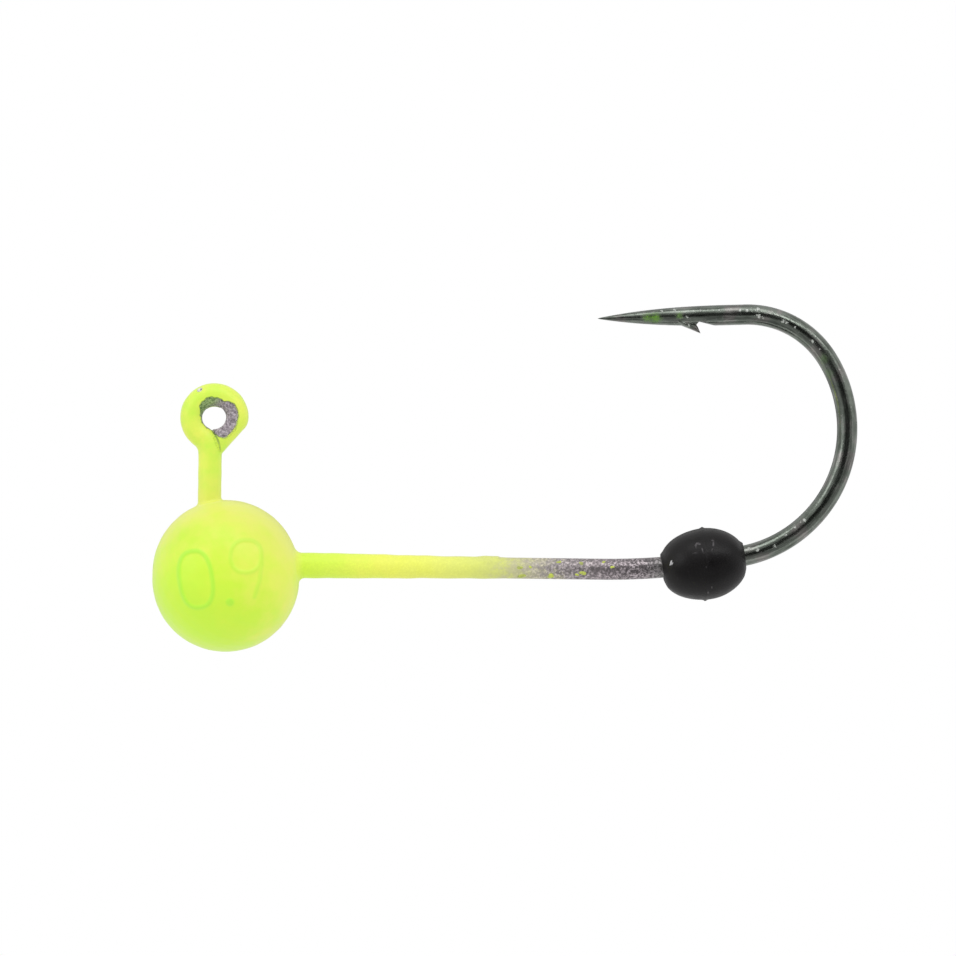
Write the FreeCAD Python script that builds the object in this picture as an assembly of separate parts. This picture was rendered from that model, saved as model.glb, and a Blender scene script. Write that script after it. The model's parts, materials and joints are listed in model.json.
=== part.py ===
import FreeCAD, Part
import math
import os

# A jig head for light fishing: one bent wire hook, a lead ball cast on it, a lacquer coat and a
# rubber stopper bead. All sizes are in millimetres and all angles in degrees.
# The origin is the centre of the line eye. +X runs along the shank to the bend, +Y runs through
# the eye, and +Z points from the shank to the point. The wire's centreline lies in the plane Y = 0.

# ---- wire ----
wire_diameter = 0.79

# ---- line eye ----
eye_hole_radius = 0.45
eye_land_depth = 0.015       # how far the round wire is flattened where it faces the hole
eye_tail_flat_depth = 0.145  # the same, on the straight end of the loop
eye_tail_slope = 48.8        # how steeply the straight end runs down to the neck
eye_corner_inner_radius = 0.105
eye_closing_gap = 0.02       # between the end of the loop and the neck

# ---- neck and shank ----
neck_lead = 0.145            # how far the neck stands ahead of the eye's centre
neck_curve_radius = 0.80     # where the neck swings out into the eye
shank_drop = 5.52            # from the eye's centre down to the shank's centreline
heel_radius = 1.60           # the right-angled bend inside the ball
shank_length = 14.62         # from the eye's centre to where the bend begins

# ---- bend: radius and turn of each arc, from the shank round to the point ----
bead_arc_radius = 25.2
bead_arc_turn = 12.3
lower_arc_radius = 4.84
lower_arc_turn = 70.5
back_arc_radius = 5.01
back_arc_turn = 39.7
upper_arc_radius = 3.52
upper_arc_turn = 59.8
arm_length = 2.34            # the straight wire between the bend and the point

# ---- point and barb ----
point_length = 3.20
point_tip_radius = 0.02
point_middle_place = 0.62    # share of the point's length, from its base
point_middle_share = 0.58    # share of the wire's radius that is left there
barb_length = 0.69
barb_rise = 0.295            # how far the barb's tip stands off the wire
barb_root_depth = 0.05       # how deep in the wire the lifted sliver starts
barb_back_lean = 0.17        # how far the barb's back leans from its tip
notch_depth = 0.19
notch_flat = 0.15
notch_length = 0.57          # from the barb's back to the end of the cut

# ---- cast ball ----
ball_radius = 2.67
ball_band_height = 0.20      # the ball is this much taller than it is wide
ball_behind_eye = 0.51       # the ball's centre from the eye's centre, along the shank
ball_below_shank = 0.43

# ---- raised weight number, on the side of the ball that faces -Y ----
number_relief = 0.05
number_line_width = 0.18
number_lean = 8.0
zero_height = 2.20
zero_width = 1.42
zero_place = (-1.09, -0.18)  # along X and Z from the ball's centre
nine_bowl_height = 1.22
nine_bowl_width = 1.12
nine_bowl_place = (0.78, 0.73)
nine_stem_foot = (1.08, -0.70)
number_dot_place = (0.20, -0.95)
number_dot_width = 0.22
number_dot_height = 0.26

# ---- lacquer ----
lacquer_on_ball = 0.10
lacquer_on_wire = 0.06
lacquer_on_shank_front = 0.09
lacquer_on_shank_end = 0.035
lacquer_shank_cover = 12.0   # from the eye's centre to the end of the coat
meniscus_length = 0.22       # the lacquer's little cone where the wire leaves the ball
meniscus_width = 0.12
chip_radius = 0.68           # the coat is chipped off inside this circle round the hole
chip_offset = 0.20

# ---- stopper bead ----
bead_length = 3.13
bead_diameter = 2.70
bead_face_diameter = 1.22
bead_bore_clearance = 0.04   # all round the wire

# ---- sizes worked out from the ones above ----
wire_radius = wire_diameter / 2
eye_ring_radius = eye_hole_radius - eye_land_depth + wire_radius
eye_tail_distance = eye_hole_radius - eye_tail_flat_depth + wire_radius
eye_corner_radius = eye_corner_inner_radius + wire_radius
bead_bore_radius = wire_radius + bead_bore_clearance
ball_centre = FreeCAD.Vector(ball_behind_eye, 0, -shank_drop - ball_below_shank)
through_all = 10 * ball_radius


def in_plane(x, z):
    return FreeCAD.Vector(x, 0, z)


def heading_vector(heading):
    """The direction at an angle from +X towards +Z."""
    return in_plane(math.cos(math.radians(heading)), math.sin(math.radians(heading)))


def turn_in_plane(shape, angle, centre):
    """Turn a shape from +X towards +Z about a point of the plane Y = 0."""
    shape.rotate(centre, FreeCAD.Vector(0, -1, 0), angle)
    return shape


def straight(start, heading, length):
    end = start + heading_vector(heading) * length
    return Part.LineSegment(start, end).toShape(), end, heading


def curve(start, heading, radius, turn):
    """An arc that leaves start at this heading. A positive turn goes from +X towards +Z."""
    side = 90 if turn > 0 else -90
    centre = start + heading_vector(heading + side) * radius
    middle = centre + heading_vector(heading - side + turn / 2) * radius
    end = centre + heading_vector(heading - side + turn) * radius
    return Part.Arc(start, middle, end).toShape(), end, heading + turn


def walk(start, heading, steps):
    """Lay tangent straights (length,) and arcs (radius, turn) end to end."""
    edges = []
    for step in steps:
        lay = straight if len(step) == 1 else curve
        edge, start, heading = lay(start, heading, *step)
        edges.append(edge)
    return edges, start, heading


def wire_along(edges, radius, start, heading):
    """A round wire of this radius along tangent edges."""
    section = Part.Wire(Part.makeCircle(radius, start, heading_vector(heading)))
    solid = Part.Wire(edges).makePipe(Part.Face(section))
    return solid if solid.Volume > 0 else solid.reversed()


def revolve(edges, axis_point, axis_direction):
    face = Part.Face(Part.Wire(edges))
    return face.revolve(axis_point, axis_direction, 360)


def closed_outline(points):
    return Part.Face(Part.makePolygon(points + points[:1]))


# ---- the wire's route, from the eye to the point ----
# The neck swings out to the ring, so its curve's centre lies a ring and a curve away from the eye's.
neck_curve_centre_x = -neck_lead - neck_curve_radius
neck_top_drop = math.sqrt((eye_ring_radius + neck_curve_radius) ** 2 - neck_curve_centre_x ** 2)
ring_start_angle = 180 + math.degrees(math.atan2(neck_top_drop, -neck_curve_centre_x))
ring_start = heading_vector(ring_start_angle) * eye_ring_radius
neck_heading = ring_start_angle + 90 - 360
neck_straight = shank_drop - heel_radius - neck_top_drop
heel_end_x = heel_radius - neck_lead

neck_steps = [
    (neck_curve_radius, -90 - neck_heading),
    (neck_straight,),
]
shank_steps = [
    (heel_radius, 90),
    (shank_length - heel_end_x,),
    (bead_arc_radius, bead_arc_turn),
    (lower_arc_radius, lower_arc_turn),
    (back_arc_radius, back_arc_turn),
    (upper_arc_radius, upper_arc_turn),
    (arm_length,),
]

# The loop goes over the top of the eye, turns a tighter corner and runs straight to the neck.
tail_foot_angle = eye_tail_slope - 90
corner_share = (eye_tail_distance - eye_corner_radius) / (eye_ring_radius - eye_corner_radius)
corner_turn = math.degrees(math.acos(corner_share))
ring_turn = ring_start_angle - (tail_foot_angle + corner_turn)
tail_foot = heading_vector(tail_foot_angle) * eye_tail_distance
tail_length = (tail_foot.x + neck_lead) / math.cos(math.radians(eye_tail_slope))
loop_heading = ring_start_angle - 90
loop_steps = [
    (eye_ring_radius, -ring_turn),
    (eye_corner_radius, -corner_turn),
    (tail_length,),
]


def neck_solid(radius):
    edges, end, heading = walk(ring_start, neck_heading, neck_steps)
    return wire_along(edges, radius, ring_start, neck_heading)


def loop_solid(radius):
    edges, end, heading = walk(ring_start, loop_heading, loop_steps)
    return wire_along(edges, radius, ring_start, loop_heading)


def stem_solid():
    edges, end, heading = walk(ring_start, neck_heading, neck_steps + shank_steps)
    return wire_along(edges, wire_radius, ring_start, neck_heading), end, heading


# ---- hook ----
def sharp_point():
    """The point's length of wire, from its base at the origin along +X, with the barb towards +Z."""
    middle = in_plane(point_length * point_middle_place, wire_radius * point_middle_share)
    base_edge = in_plane(0, wire_radius)
    tip_edge = in_plane(point_length, point_tip_radius)
    tip = in_plane(point_length, 0)
    outline = [
        Part.Arc(base_edge, middle, tip_edge).toShape(),
        Part.LineSegment(tip_edge, tip).toShape(),
        Part.LineSegment(tip, in_plane(0, 0)).toShape(),
        Part.LineSegment(in_plane(0, 0), base_edge).toShape(),
    ]
    return revolve(outline, in_plane(0, 0), FreeCAD.Vector(1, 0, 0))


def barb():
    """The sliver that is lifted off the wire, placed as in sharp_point."""
    root = in_plane(barb_root_depth, wire_radius - barb_root_depth)
    tip = in_plane(-barb_length, wire_radius + barb_rise)
    back = in_plane(barb_back_lean - barb_length, wire_radius)
    inside = in_plane(barb_back_lean - barb_length, wire_radius - notch_depth)
    profile = closed_outline([root, tip, back, inside]).extrude(FreeCAD.Vector(0, wire_diameter, 0))
    profile.translate(FreeCAD.Vector(0, -wire_radius, 0))
    # Its outer face keeps the wire's own roundness, lifted about the root.
    lift = math.degrees(math.atan2(tip.z - root.z, root.x - tip.x))
    round_wire = Part.makeCylinder(
        wire_radius,
        4 * barb_length,
        in_plane(-2 * barb_length, -barb_root_depth),
        FreeCAD.Vector(1, 0, 0),
    )
    return profile.common(turn_in_plane(round_wire, -lift, root))


def barb_notch():
    """The cut behind the barb, placed as in sharp_point."""
    back = barb_back_lean - barb_length
    above = wire_radius + barb_rise
    bottom = wire_radius - notch_depth
    lean_at_bottom = back - barb_back_lean * notch_depth / barb_rise
    lean_above = back - barb_back_lean
    corners = [
        in_plane(lean_above, above),
        in_plane(back, wire_radius),
        in_plane(lean_at_bottom, bottom),
        in_plane(lean_at_bottom - notch_flat, bottom),
        in_plane(back - notch_length, wire_radius),
        in_plane(back - notch_length, above),
    ]
    cut = closed_outline(corners).extrude(FreeCAD.Vector(0, wire_diameter, 0))
    cut.translate(FreeCAD.Vector(0, -wire_radius, 0))
    return cut


def hook():
    stem, arm_end, arm_heading = stem_solid()
    loop = loop_solid(wire_radius).cut(neck_solid(wire_radius + eye_closing_gap))
    solid = stem.fuse([loop])
    eye_hole = Part.makeCylinder(
        eye_hole_radius,
        2 * wire_diameter,
        FreeCAD.Vector(0, -wire_diameter, 0),
        FreeCAD.Vector(0, 1, 0),
    )
    solid = solid.cut(eye_hole)
    for piece in (sharp_point(), barb()):
        piece = turn_in_plane(piece, arm_heading, in_plane(0, 0))
        piece.translate(arm_end)
        solid = solid.fuse(piece)
    notch = turn_in_plane(barb_notch(), arm_heading, in_plane(0, 0))
    notch.translate(arm_end)
    return solid.cut(notch).removeSplitter()


# ---- cast ball with its raised number ----
def ball(radius):
    """A ball that is taller than it is wide by a short band round its middle."""
    half_band = ball_band_height / 2
    top = in_plane(0, half_band + radius)
    upper_side = in_plane(radius, half_band)
    lower_side = in_plane(radius, -half_band)
    bottom = in_plane(0, -half_band - radius)
    slant = radius * math.sqrt(0.5)
    outline = [
        Part.Arc(top, in_plane(slant, half_band + slant), upper_side).toShape(),
        Part.LineSegment(upper_side, lower_side).toShape(),
        Part.Arc(lower_side, in_plane(slant, -half_band - slant), bottom).toShape(),
        Part.LineSegment(bottom, top).toShape(),
    ]
    solid = revolve(outline, in_plane(0, 0), FreeCAD.Vector(0, 0, 1))
    solid.translate(ball_centre)
    return solid


def stand_out(face):
    """Extrude a flat shape of the number towards -Y, through the side of the ball."""
    return face.extrude(FreeCAD.Vector(0, -through_all, 0))


def oval_face(place, width, height):
    """An ellipse, taller than it is wide, round a place given from the ball's centre."""
    ellipse = Part.Ellipse(in_plane(0, height / 2), in_plane(width / 2, 0), in_plane(0, 0))
    face = Part.Face(Part.Wire(ellipse.toShape()))
    face.translate(in_plane(*place))
    return face


def oval_ring(place, width, height):
    inside = oval_face(place, width - 2 * number_line_width, height - 2 * number_line_width)
    return stand_out(oval_face(place, width, height)).cut(stand_out(inside))


def number_stroke(start, end):
    half = number_line_width / 2
    along = (end - start).normalize()
    across = in_plane(-along.z, along.x) * half
    return stand_out(closed_outline([start + across, end + across, end - across, start - across]))


def weight_number():
    """The number 0.9 as columns that reach from the ball's middle plane out through its side."""
    stem_top = in_plane(
        nine_bowl_place[0] + nine_bowl_width / 2 - number_line_width / 2,
        nine_bowl_place[1],
    )
    dot = oval_face(number_dot_place, number_dot_width, number_dot_height)
    zero = turn_in_plane(oval_ring(zero_place, zero_width, zero_height), number_lean, in_plane(*zero_place))
    columns = [
        zero,
        oval_ring(nine_bowl_place, nine_bowl_width, nine_bowl_height),
        number_stroke(stem_top, in_plane(*nine_stem_foot)),
        stand_out(dot),
    ]
    shape = columns[0].fuse(columns[1:])
    shape.translate(ball_centre)
    return shape


def ball_with_number(radius):
    raised = weight_number().common(ball(radius + number_relief))
    return ball(radius).fuse(raised)


def head_casting(hook_solid):
    return ball_with_number(ball_radius).cut(hook_solid)


# ---- lacquer ----
def meniscus(start, direction, wire_cover_radius):
    """The lacquer's cone where a wire leaves the ball. Its base is sunk well under the round surface."""
    inner_reach = 2 * wire_cover_radius
    slope = meniscus_width / meniscus_length
    return Part.makeCone(
        wire_cover_radius + meniscus_width + slope * inner_reach,
        wire_cover_radius,
        inner_reach + meniscus_length,
        start - direction * inner_reach,
        direction,
    )


def lacquer_coat(hook_solid, casting):
    up = FreeCAD.Vector(0, 0, 1)
    along = FreeCAD.Vector(1, 0, 0)
    coated_ball_radius = ball_radius + lacquer_on_ball
    neck_cover = wire_radius + lacquer_on_wire
    front_cover = wire_radius + lacquer_on_shank_front
    end_cover = wire_radius + lacquer_on_shank_end
    shank_sleeve = Part.makeCone(
        front_cover,
        end_cover,
        lacquer_shank_cover - ball_behind_eye,
        in_plane(ball_behind_eye, -shank_drop),
        along,
    )
    # The wires leave the ball away from its centre, so each exit is worked out on the round surface.
    neck_aside = ball_behind_eye + neck_lead
    neck_exit_height = math.sqrt(coated_ball_radius ** 2 - neck_aside ** 2) + ball_band_height / 2
    shank_exit_height = ball_below_shank - ball_band_height / 2
    shank_exit_reach = math.sqrt(coated_ball_radius ** 2 - shank_exit_height ** 2)
    neck_exit = in_plane(-neck_lead, ball_centre.z + neck_exit_height)
    shank_exit = in_plane(ball_behind_eye + shank_exit_reach, -shank_drop)
    outside = ball_with_number(coated_ball_radius).fuse([
        neck_solid(neck_cover),
        loop_solid(neck_cover),
        shank_sleeve,
        meniscus(neck_exit, up, neck_cover),
        meniscus(shank_exit, along, front_cover),
    ])
    chipped = Part.makeCylinder(
        chip_radius,
        4 * neck_cover,
        FreeCAD.Vector(chip_offset, -2 * neck_cover, 0),
        FreeCAD.Vector(0, 1, 0),
    )
    inside = closing_slit_filled(hook_solid)
    return outside.cut([casting, inside, chipped]).removeSplitter()


def closing_slit_filled(hook_solid):
    """The hook with the slit at the end of its loop closed, because no lacquer gets into it."""
    return hook_solid.fuse([neck_solid(wire_radius), loop_solid(wire_radius)])


# ---- stopper bead ----
def stopper_bead():
    """The bead on its arc of wire, against the point where the wire turns more sharply."""
    half_length = bead_length / 2
    bead_radius = bead_diameter / 2
    face_radius = bead_face_diameter / 2
    # The side is a stretch of an ellipse that is cut off at the two end faces.
    half_axis = half_length / math.sqrt(1 - (face_radius / bead_radius) ** 2)
    side = Part.Ellipse(in_plane(half_axis, 0), in_plane(0, bead_radius), in_plane(0, 0))
    face_angle = math.acos(half_length / half_axis)
    arc = Part.Arc(side, face_angle, math.pi - face_angle).toShape()
    ends = [vertex.Point for vertex in arc.Vertexes]
    right = max(ends, key=lambda point: point.x)
    left = min(ends, key=lambda point: point.x)
    outline = [
        arc,
        Part.LineSegment(left, in_plane(left.x, 0)).toShape(),
        Part.LineSegment(in_plane(left.x, 0), in_plane(right.x, 0)).toShape(),
        Part.LineSegment(in_plane(right.x, 0), right).toShape(),
    ]
    solid = revolve(outline, in_plane(0, 0), FreeCAD.Vector(1, 0, 0))

    half_angle = math.degrees(half_length / bead_arc_radius)
    bead_angle = bead_arc_turn - half_angle
    arc_centre = in_plane(shank_length, bead_arc_radius - shank_drop)
    solid = turn_in_plane(solid, bead_angle, in_plane(0, 0))
    solid.translate(arc_centre + heading_vector(bead_angle - 90) * bead_arc_radius)

    bore_start_angle = bead_angle - 2 * half_angle
    bore_start = arc_centre + heading_vector(bore_start_angle - 90) * bead_arc_radius
    edges, end, heading = walk(bore_start, bore_start_angle, [(bead_arc_radius, 4 * half_angle)])
    return solid.cut(wire_along(edges, bead_bore_radius, bore_start, bore_start_angle))


def main():
    os.makedirs("parts", exist_ok=True)
    hook_solid = hook()
    casting = head_casting(hook_solid)
    pieces = {
        "hook": hook_solid,
        "head_casting": casting,
        "lacquer_coat": lacquer_coat(hook_solid, casting),
        "stopper_bead": stopper_bead(),
    }
    for name, shape in pieces.items():
        shape.exportStep("parts/" + name + ".step")
        box = shape.BoundBox
        print(name, "solids", len(shape.Solids), "valid", shape.isValid(), "volume", round(shape.Volume, 4))
        print("   x", round(box.XMin, 3), round(box.XMax, 3), "z", round(box.ZMin, 3), round(box.ZMax, 3))


main()
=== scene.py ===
import json
import math

import bpy
import numpy as np
from mathutils import Matrix, Vector


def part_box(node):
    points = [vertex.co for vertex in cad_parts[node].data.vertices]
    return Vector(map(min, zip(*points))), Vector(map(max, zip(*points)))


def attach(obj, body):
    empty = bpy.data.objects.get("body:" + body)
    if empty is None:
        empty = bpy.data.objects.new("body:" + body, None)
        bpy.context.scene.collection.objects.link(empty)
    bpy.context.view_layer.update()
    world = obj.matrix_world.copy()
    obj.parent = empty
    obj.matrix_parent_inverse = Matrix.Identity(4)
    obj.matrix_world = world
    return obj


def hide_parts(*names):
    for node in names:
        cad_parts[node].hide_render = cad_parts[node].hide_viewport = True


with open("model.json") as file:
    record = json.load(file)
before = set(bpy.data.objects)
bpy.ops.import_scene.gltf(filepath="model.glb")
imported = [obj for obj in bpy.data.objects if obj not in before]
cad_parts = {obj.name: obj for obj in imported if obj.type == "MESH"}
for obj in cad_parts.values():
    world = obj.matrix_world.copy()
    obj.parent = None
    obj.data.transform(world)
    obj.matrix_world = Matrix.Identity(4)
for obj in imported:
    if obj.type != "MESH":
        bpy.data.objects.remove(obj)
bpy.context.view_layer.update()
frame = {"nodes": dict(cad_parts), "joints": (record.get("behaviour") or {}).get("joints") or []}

# A jig head: lacquered ball, line eye and shank on one bent wire hook, with a rubber stopper bead.
# Lengths below are in millimetres. MM turns them into metres at the end.
MM = 0.001
far_off = 9.0  # a gap, in millimetres, that no mark reaches across

# ---- places and sizes that the frame gives ----
hook_high = np.array(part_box("hook")[1]) / MM
coat_low, coat_high = (np.array(corner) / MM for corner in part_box("lacquer_coat"))
hinge_x, _, hinge_z = (value / MM for value in frame["joints"][0]["pos_m"])
wire_radius = hook_high[1]
ball_radius = coat_high[1]
ball_half_band = 0.10
ball_centre = np.array([coat_low[0] + ball_radius, 0.0, coat_low[2] + ball_radius + ball_half_band])

# ---- the wire's route, as the hook is bent ----
shank_z = -5.52
neck_x = -0.145
neck_curve_radius = 0.80
heel_radius = 1.60
eye_ring_radius = 0.83
eye_corner_radius = 0.47
coat_corner_radius = 0.16
eye_tail_distance = 0.665
eye_tail_slope = 48.8
bend_arcs = [(hinge_z - shank_z, 12.3), (4.84, 70.5), (5.01, 39.7), (3.52, 59.8)]
arm_length = 2.34
point_length = 3.20


class Route:
    """A chain of tangent straights and arcs in the plane Y = 0."""

    def __init__(self, start, heading):
        self.end = np.array(start, float)
        self.heading = heading
        self.parts = []
        self.length = 0.0

    def straight(self, length):
        start = self.end
        along = direction(self.heading)
        self.end = start + along * length
        self.parts.append(("line", start, along, length, self.length))
        self.length += length
        return self

    def arc(self, radius, turn):
        side = 90 if turn > 0 else -90
        centre = self.end + direction(self.heading + side) * radius
        span = radius * math.radians(abs(turn))
        self.parts.append(("arc", centre, radius, self.heading - side, turn, self.length, span))
        self.end = centre + direction(self.heading - side + turn) * radius
        self.heading += turn
        self.length += span
        return self

    def at(self, place):
        """The point and heading at a length along the route."""
        for part in self.parts:
            if part[0] == "line":
                _, start, along, length, before = part
                if place <= before + length or part is self.parts[-1]:
                    return start + along * (place - before), math.degrees(math.atan2(along[1], along[0]))
            else:
                _, centre, radius, angle, turn, before, span = part
                if place <= before + span or part is self.parts[-1]:
                    swept = turn * (place - before) / span
                    heading = angle + swept + (90 if turn > 0 else -90)
                    return centre + direction(angle + swept) * radius, heading

    def distance(self, points):
        """The distance of many points from the route's line, in three dimensions."""
        flat = points[:, [0, 2]]
        nearest = np.full(len(points), np.inf)
        for part in self.parts:
            if part[0] == "line":
                _, start, along, length, _ = part
                offset = flat - start
                place = np.clip(offset @ along, 0, length)
                gap = np.linalg.norm(offset - place[:, None] * along, axis=1)
            else:
                _, centre, radius, angle, turn, _, _ = part
                offset = flat - centre
                polar = np.degrees(np.arctan2(offset[:, 1], offset[:, 0]))
                middle = angle + turn / 2
                away = np.abs((polar - middle + 180) % 360 - 180)
                gap = np.abs(np.linalg.norm(offset, axis=1) - radius)
                ends = [
                    np.linalg.norm(offset - direction(end_angle) * radius, axis=1)
                    for end_angle in (angle, angle + turn)
                ]
                gap = np.where(away > abs(turn) / 2, np.minimum(*ends), gap)
            nearest = np.minimum(nearest, gap)
        return np.hypot(nearest, points[:, 1])


def direction(heading):
    return np.array([math.cos(math.radians(heading)), math.sin(math.radians(heading))])


def smooth_step(low, high, values):
    share = np.clip((values - low) / (high - low), 0, 1)
    return share * share * (3 - 2 * share)


# The neck swings out into the ring, so its curve's centre is a ring and a curve away from the eye's.
neck_curve_x = neck_x - neck_curve_radius
neck_top_drop = math.sqrt((eye_ring_radius + neck_curve_radius) ** 2 - neck_curve_x ** 2)
ring_start_angle = 180 + math.degrees(math.atan2(neck_top_drop, -neck_curve_x))
ring_start = direction(ring_start_angle) * eye_ring_radius
neck_heading = ring_start_angle + 90 - 360
neck_length = -neck_top_drop - shank_z - heel_radius
tail_angle = eye_tail_slope - 90
tail_foot = direction(tail_angle) * eye_tail_distance
tail_past_foot = (tail_foot[0] - neck_x) / math.cos(math.radians(eye_tail_slope))
tail_end = tail_foot + direction(tail_angle - 90) * tail_past_foot
tail_bite = 0.03
tail_cut = (wire_radius - tail_bite) / math.cos(math.radians(eye_tail_slope))


def with_neck(route):
    """The route, with the neck added from the eye's ring down to the heel."""
    return route.arc(neck_curve_radius, -90 - neck_heading).straight(neck_length)


def eye_turns(corner_radius):
    """The ring's turn before its corner, the corner's turn, and the straight end's length."""
    share = (eye_tail_distance - corner_radius) / (eye_ring_radius - corner_radius)
    corner_turn = math.degrees(math.acos(share))
    before_foot = (eye_ring_radius - corner_radius) * math.sin(math.radians(corner_turn))
    return ring_start_angle - (tail_angle + corner_turn), corner_turn, before_foot + tail_past_foot


def ring_route():
    """From the top of the neck over the eye to the start of its straight end."""
    ring_turn, corner_turn, _ = eye_turns(coat_corner_radius)
    route = Route(ring_start, ring_start_angle - 90).arc(eye_ring_radius, -ring_turn)
    return route.arc(coat_corner_radius, -corner_turn)


def tail_route():
    """The straight end of the eye, down to the neck again."""
    ring = ring_route()
    return Route(ring.end, ring.heading).straight(eye_turns(coat_corner_radius)[2])


def whole_wire():
    """The wire from the tail of the eye to the tip of the point, as one route."""
    ring_turn, corner_turn, tail_length = eye_turns(eye_corner_radius)
    heading = tail_angle + 90
    route = Route(tail_end + direction(heading) * tail_cut, heading).straight(tail_length - tail_cut)
    route.arc(eye_corner_radius, corner_turn)
    route.arc(eye_ring_radius, ring_turn)
    with_neck(route).arc(heel_radius, 90)
    route.straight(hinge_x - route.end[0])
    for radius, turn in bend_arcs:
        route.arc(radius, turn)
    return route.straight(arm_length + point_length)


# ---- meshes ----
def ring_faces(rings, around, first=0, turned=False, looped=False):
    """Four-sided faces between rings of points. turned makes them face the other way, and looped also
    joins the last ring to the first."""
    faces = []
    for ring in range(rings if looped else rings - 1):
        low, high = first + ring * around, first + (ring + 1) % rings * around
        for k in range(around):
            nxt = (k + 1) % around
            others = (high + k, high + nxt, low + nxt)
            faces.append((low + k, *(others[::-1] if turned else others)))
    return faces


def sweep(route, stations, radius_at, around=32, shape=None):
    """Rings of points along a route. shape may change how far up a ring's points are placed."""
    angles = np.linspace(0, 2 * math.pi, around, endpoint=False)
    points = []
    for place in stations:
        centre, heading = route.at(place)
        across = direction(heading + 90)
        radius = radius_at(place)
        up, aside = radius * np.cos(angles), radius * np.sin(angles)
        if shape:
            up = shape(place, up)
        points.append(np.column_stack([centre[0] + up * across[0], aside, centre[1] + up * across[1]]))
    last = (len(stations) - 1) * around
    ends = [tuple(range(around)), tuple(last + k for k in reversed(range(around)))]
    return np.vstack(points), ring_faces(len(stations), around) + ends


def joined(pieces):
    """Several lists of vertices and faces as one."""
    vertices, faces, base = [], [], 0
    for points, polygons in pieces:
        vertices.append(points)
        faces += [tuple(base + k for k in polygon) for polygon in polygons]
        base += len(points)
    return np.vstack(vertices), faces


def new_object(name, vertices, faces, scale=MM):
    mesh = bpy.data.meshes.new(name)
    mesh.from_pydata([tuple(point) for point in vertices * scale], [], faces)
    mesh.validate()
    mesh.polygons.foreach_set("use_smooth", [True] * len(mesh.polygons))
    piece = bpy.data.objects.new(name, mesh)
    bpy.context.scene.collection.objects.link(piece)
    return piece


def round_ball(centre, radius, rows=48):
    """A closed ball, the seed of a remeshed surface."""
    count = 2 * rows
    points = [(0, 0, 1)]
    for tilt in (math.pi * row / rows for row in range(1, rows)):
        for turn in (math.pi * k / rows for k in range(count)):
            out = math.sin(tilt)
            points.append((out * math.cos(turn), out * math.sin(turn), math.cos(tilt)))
    points.append((0, 0, -1))
    faces = ring_faces(rows - 1, count, first=1)
    low = 1 + (rows - 2) * count
    for k in range(count):
        nxt = (k + 1) % count
        faces += [(0, 1 + k, 1 + nxt), (low + k, len(points) - 1, low + nxt)]
    return np.array(points) * radius + centre, faces


def remeshed(vertices, faces, voxel):
    """The outer skin of overlapping closed meshes, as an even mesh. Sizes are in millimetres."""
    seed = new_object("seed", vertices, faces, scale=1)
    modifier = seed.modifiers.new("skin", "REMESH")
    modifier.mode = "VOXEL"
    modifier.voxel_size = voxel
    graph = bpy.context.evaluated_depsgraph_get()
    skin = seed.evaluated_get(graph).to_mesh()
    points = np.empty(len(skin.vertices) * 3)
    skin.vertices.foreach_get("co", points)
    polygons = [tuple(polygon.vertices) for polygon in skin.polygons]
    seed.evaluated_get(graph).to_mesh_clear()
    bpy.data.meshes.remove(seed.data)
    return points.reshape(-1, 3), polygons


def slope_of(field, points, step=0.004):
    shifts = np.eye(3) * step
    return np.column_stack([(field(points + s) - field(points - s)) / (2 * step) for s in shifts])


def relaxed(points, faces):
    """Each point moved halfway to the mean of its neighbours."""
    edges = np.array([(face[k - 1], face[k]) for face in faces for k in range(len(face))])
    total = np.zeros_like(points)
    count = np.zeros(len(points))
    for a, b in ((0, 1), (1, 0)):
        np.add.at(total, edges[:, a], points[edges[:, b]])
        np.add.at(count, edges[:, a], 1)
    return (points + total / count[:, None]) / 2


def settled_on(field, points, faces, rounds=4):
    """Move a mesh's points onto the surface where field is zero."""
    for turn in range(rounds):
        if turn in (1, 2):
            points = relaxed(points, faces)
        for _ in range(2):
            slope = slope_of(field, points)
            steepness = np.maximum((slope ** 2).sum(axis=1), 0.2)
            move = field(points) / steepness
            points = points - slope * np.clip(move, -0.05, 0.05)[:, None]
    return points


def paint_attributes(piece, **marks):
    """Values for each vertex, which the materials read by name."""
    for name, values in marks.items():
        attribute = piece.data.attributes.new(name, "FLOAT", "POINT")
        attribute.data.foreach_set("value", np.asarray(values, np.float32))


# ---- lacquer coat ----
coat_on_wire = 0.455
coat_front = 0.480
coat_thin = 0.418
thin_from = 3.4
fade_start = 9.6
fade_end = 12.3
fade_loss = 0.045
run_height = 0.045  # a run of lacquer on top of the shank where it thins out
coat_voxel = 0.04
coat_core = wire_radius - 0.12
# How far the coat swells and shrinks, and the size of the waves.
ball_wobble, shank_wobble, all_wobble = (0.010, 4.5), (0.010, 1.7), (0.006, 0.9)
ball_fillet, shank_fillet = 0.13, 0.24
crack_top, crack_bottom = -0.50, -1.26
number_line = 0.08
number_relief = 0.032
zero_place = (-0.95, -0.08)
zero_half = (0.62, 1.05)
zero_lean = 9.0
zero_fullness = 2.5
nine_place = (0.89, 0.80)
nine_half = (0.56, 0.60)
nine_fullness = 2.3
nine_stem = ((1.44, 0.98), (1.46, 0.60), (1.41, -0.05), (1.22, -0.70))
dot_place = (0.33, -0.90)
dot_radius = 0.07

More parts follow.
